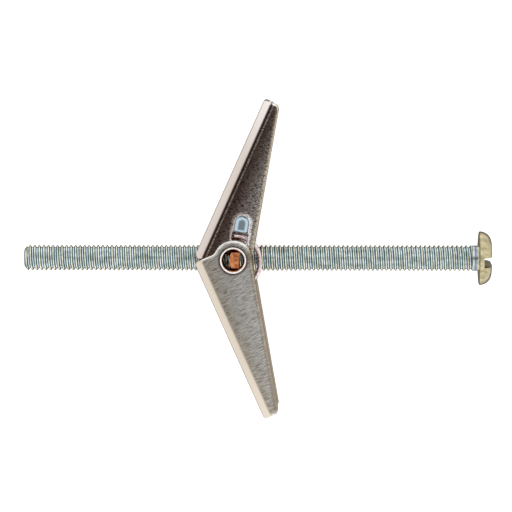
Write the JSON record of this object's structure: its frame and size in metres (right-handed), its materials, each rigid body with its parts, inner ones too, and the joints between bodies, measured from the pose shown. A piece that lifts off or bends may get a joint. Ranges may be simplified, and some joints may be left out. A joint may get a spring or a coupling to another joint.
{
  "type": "spring toggle bolt",
  "caption": "Slotted machine screw with a stamped plate nut and two spring-opened folding wings, for fixing to hollow walls.",
  "frame": {"origin": "centre of the face under the bolt's head", "axes": "+X along the bolt and out of its head, the wings open along +Y and -Y, +Z along the hinge axis of the wings"},
  "size_m": [0.072, 0.049, 0.0108],
  "materials": {
    "plated_screw": "rolled steel, zinc plated and passivated",
    "coppered_nut": "stamped steel with a copper flash",
    "plated_eyelet": "rolled steel tube, zinc plated",
    "plated_wing": "stamped steel sheet, zinc plated, with fine scratches",
    "spring_wire": "drawn spring wire, plated"
  },
  "bodies": {
    "screw": {"bolt": "plated_screw"},
    "carrier": {"nut": "coppered_nut", "eyelet_upper": "plated_eyelet", "eyelet_lower": "plated_eyelet", "spring": "spring_wire"},
    "left_wing": {"wing_a": "plated_wing"},
    "right_wing": {"wing_b": "plated_wing"}
  },
  "joints": [
    {"name": "nut_travel", "type": "slide", "parent": "screw", "child": "carrier", "axis": [1, 0, 0], "range_m": [-0.029, 0.008]},
    {"name": "wing_a_fold", "type": "hinge", "parent": "carrier", "child": "left_wing", "pos_m": [-0.0377, 0, 0], "axis": [0, 0, -1], "range_deg": [0, 71], "stiffness_Nm_per_rad": 0.01, "springref_deg": -34.38, "deforming": ["spring"]},
    {"name": "wing_b_fold", "type": "hinge", "parent": "carrier", "child": "right_wing", "pos_m": [-0.0377, 0, 0], "axis": [0, 0, 1], "range_deg": [0, 71], "stiffness_Nm_per_rad": 0.01, "springref_deg": -34.38}
  ]
}
